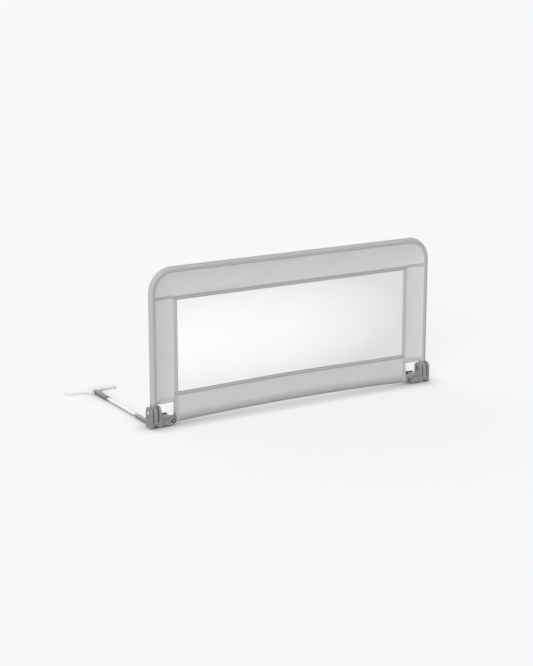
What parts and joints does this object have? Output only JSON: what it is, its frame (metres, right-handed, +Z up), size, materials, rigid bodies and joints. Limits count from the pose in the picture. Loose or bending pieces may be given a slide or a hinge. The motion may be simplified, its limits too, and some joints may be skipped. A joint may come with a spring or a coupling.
{
  "type": "folding bed guard rail",
  "caption": "Fabric-covered tube guard with a mesh window, hinged on two brackets whose arms and cross feet slide under a mattress, with sprung latches beside the hinges",
  "frame": {"origin": "Under the middle of the whole object, at the level that the feet and brackets rest on", "axes": "+X along the rail, to the right when seen from the room; +Y from the guard to the bed; +Z up"},
  "size_m": [1.262, 0.531, 0.5313],
  "materials": {
    "cover_fabric": "fine plain weave, light grey, matt",
    "window_mesh": "fine white polyester net",
    "grey_plastic": "moulded mid grey, fine texture",
    "dark_plastic": "moulded near black",
    "white_plastic": "moulded white, soft sheen",
    "white_tube": "white powder coat on steel tube",
    "steel": "zinc plated"
  },
  "bodies": {
    "base": {"bracket_left": "grey_plastic", "bracket_right": "grey_plastic", "pivot_pin_left": "steel", "pivot_pin_right": "steel", "pivot_clip_left": "dark_plastic", "pivot_clip_right": "dark_plastic", "latch_cover_left": "grey_plastic", "latch_cover_right": "grey_plastic", "latch_cover_screw_left": "steel", "latch_cover_screw_right": "steel", "latch_spring_left": "steel", "latch_spring_right": "steel", "lug_ring_left": "dark_plastic", "lug_ring_right": "dark_plastic", "lug_bolt_left": "steel", "lug_bolt_right": "steel", "lug_nut_left": "steel", "lug_nut_right": "steel", "arm_tube_left": "white_tube", "arm_tube_right": "white_tube", "arm_button_spring_left": "steel", "arm_button_spring_right": "steel", "foot_sleeve_left": "grey_plastic", "foot_sleeve_right": "grey_plastic", "foot_plate_left": "white_plastic", "foot_plate_right": "white_plastic", "foot_screw_left": "steel", "foot_screw_right": "steel", "bottom_tube": "white_tube", "cover_bottom_strip": "cover_fabric"},
    "guard": {"knuckle_left": "grey_plastic", "knuckle_right": "grey_plastic", "upper_tube_left": "white_tube", "upper_tube_right": "white_tube", "joiner_rivet_left": "steel", "joiner_rivet_right": "steel", "tube_joiner": "steel", "cover_sleeve": "cover_fabric", "cover_top_band": "cover_fabric", "cover_side_band_left": "cover_fabric", "cover_side_band_right": "cover_fabric", "cover_mesh": "window_mesh"},
    "latch_left": {"latch_grip_left": "dark_plastic", "latch_plunger_left": "steel"},
    "latch_right": {"latch_grip_right": "dark_plastic", "latch_plunger_right": "steel"},
    "button_left": {"arm_button_left": "steel"},
    "button_right": {"arm_button_right": "steel"}
  },
  "joints": [
    {"name": "guard_fold", "type": "hinge", "parent": "base", "child": "guard", "pos_m": [0, -0.2465, 0.053], "axis": [1, 0, 0], "range_deg": [0, 120]},
    {"name": "latch_left_slide", "type": "slide", "parent": "base", "child": "latch_left", "axis": [1, 0, 0], "range_m": [0, 0.006], "stiffness_N_per_m": 400, "springref_m": -0.012, "deforming": ["latch_spring_left"]},
    {"name": "latch_right_slide", "type": "slide", "parent": "base", "child": "latch_right", "axis": [-1, 0, 0], "range_m": [0, 0.006], "stiffness_N_per_m": 400, "springref_m": -0.012, "deforming": ["latch_spring_right"]},
    {"name": "arm_button_left_press", "type": "slide", "parent": "base", "child": "button_left", "axis": [0, 0, -1], "range_m": [0, 0.0032], "stiffness_N_per_m": 600, "springref_m": -0.003, "deforming": ["arm_button_spring_left"]},
    {"name": "arm_button_right_press", "type": "slide", "parent": "base", "child": "button_right", "axis": [0, 0, -1], "range_m": [0, 0.0032], "stiffness_N_per_m": 600, "springref_m": -0.003, "deforming": ["arm_button_spring_right"]}
  ]
}
